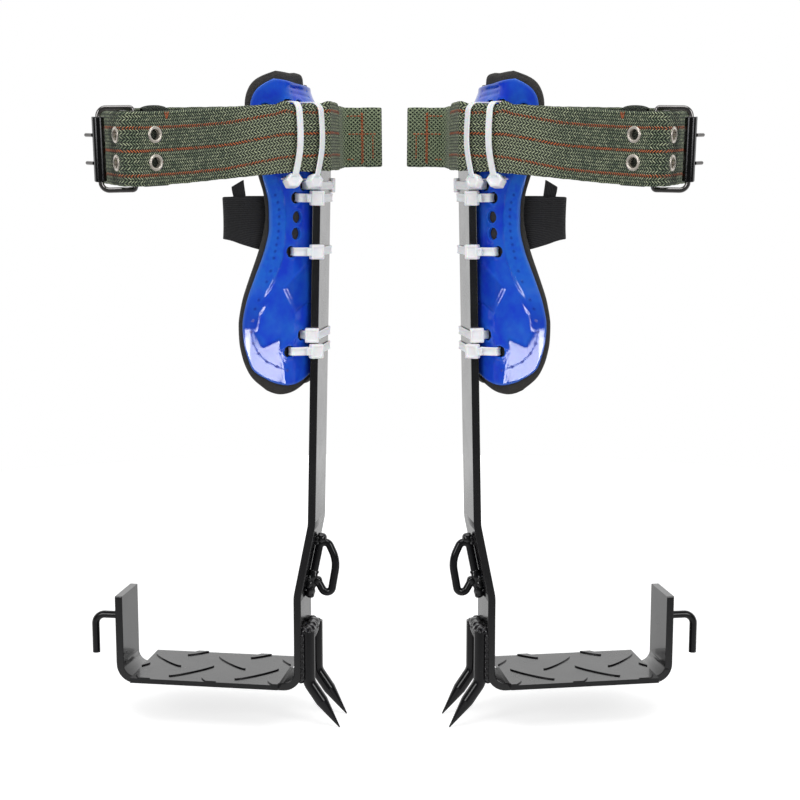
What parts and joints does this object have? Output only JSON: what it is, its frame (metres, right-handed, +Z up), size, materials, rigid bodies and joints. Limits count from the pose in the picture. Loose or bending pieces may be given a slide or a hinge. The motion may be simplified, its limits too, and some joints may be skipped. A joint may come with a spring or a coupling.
{
  "type": "tree climbing spikes",
  "caption": "Pair of tree climbing spikes: bent steel shanks with chequered foot plates and spikes, padded shin guards and buckled webbing leg belts.",
  "frame": {"origin": "middle of the bottom of the pair's bounding box, level with the spike tips", "axes": "+Z up along the shanks, +Y away from the viewer, +X to the viewer's right"},
  "size_m": [0.4916, 0.2253, 0.507],
  "materials": {
    "black_paint": "gloss black paint over flat and round steel",
    "tread_paint": "black paint on chequer plate",
    "blue_shell": "glossy translucent blue moulding",
    "black_foam": "closed-cell foam with cloth face",
    "black_elastic": "ribbed elastic",
    "green_webbing": "herringbone webbing with lengthwise orange lines",
    "nickel": "nickel-plated brass",
    "dark_chrome": "dark nickel plating on steel",
    "white_nylon": "natural nylon"
  },
  "bodies": {
    "left_climber": {"left_stirrup_bar": "black_paint", "left_tread_plate": "tread_paint", "left_spike_front": "black_paint", "left_spike_rear": "black_paint", "left_strap_hook": "black_paint", "left_ankle_loop": "black_paint", "left_guard_shell": "blue_shell", "left_guard_foam": "black_foam", "left_calf_strap": "black_elastic", "left_calf_strap_tab": "black_elastic", "left_belt": "green_webbing", "left_belt_keeper": "green_webbing", "left_belt_eyelets": "nickel", "left_eyelet_washers": "nickel", "left_belt_tie_1": "white_nylon", "left_belt_tie_2": "white_nylon", "left_shank_tie_1": "white_nylon", "left_shank_tie_2": "white_nylon", "left_shank_tie_3": "white_nylon", "left_shank_tie_4": "white_nylon", "left_shank_tie_5": "white_nylon"},
    "left_buckle": {"left_buckle_frame": "dark_chrome"},
    "left_prongs": {"left_prong_sleeve": "dark_chrome", "left_prong_upper": "dark_chrome", "left_prong_lower": "dark_chrome"},
    "right_climber": {"right_stirrup_bar": "black_paint", "right_tread_plate": "tread_paint", "right_spike_front": "black_paint", "right_spike_rear": "black_paint", "right_strap_hook": "black_paint", "right_ankle_loop": "black_paint", "right_guard_shell": "blue_shell", "right_guard_foam": "black_foam", "right_calf_strap": "black_elastic", "right_calf_strap_tab": "black_elastic", "right_belt": "green_webbing", "right_belt_keeper": "green_webbing", "right_belt_eyelets": "nickel", "right_eyelet_washers": "nickel", "right_belt_tie_1": "white_nylon", "right_belt_tie_2": "white_nylon", "right_shank_tie_1": "white_nylon", "right_shank_tie_2": "white_nylon", "right_shank_tie_3": "white_nylon", "right_shank_tie_4": "white_nylon", "right_shank_tie_5": "white_nylon"},
    "right_buckle": {"right_buckle_frame": "dark_chrome"},
    "right_prongs": {"right_prong_sleeve": "dark_chrome", "right_prong_upper": "dark_chrome", "right_prong_lower": "dark_chrome"}
  },
  "joints": [
    {"name": "pair_spread", "type": "slide", "parent": "left_climber", "child": "right_climber", "axis": [1, 0, 0], "range_m": [0, 0.3]},
    {"name": "left_buckle_swing", "type": "hinge", "parent": "left_climber", "child": "left_buckle", "pos_m": [-0.17461, -0.10385, 0.44848], "axis": [-0.009, -0.0604, 0.9981], "range_deg": [0, 60]},
    {"name": "left_prong_swing", "type": "hinge", "parent": "left_buckle", "child": "left_prongs", "pos_m": [-0.19682, -0.10795, 0.44803], "axis": [-0.009, -0.0604, 0.9981], "range_deg": [0, 110]},
    {"name": "right_buckle_swing", "type": "hinge", "parent": "right_climber", "child": "right_buckle", "pos_m": [0.17461, -0.10385, 0.44848], "axis": [-0.009, 0.0604, -0.9981], "range_deg": [0, 60]},
    {"name": "right_prong_swing", "type": "hinge", "parent": "right_buckle", "child": "right_prongs", "pos_m": [0.19682, -0.10795, 0.44803], "axis": [-0.009, 0.0604, -0.9981], "range_deg": [0, 110]}
  ]
}
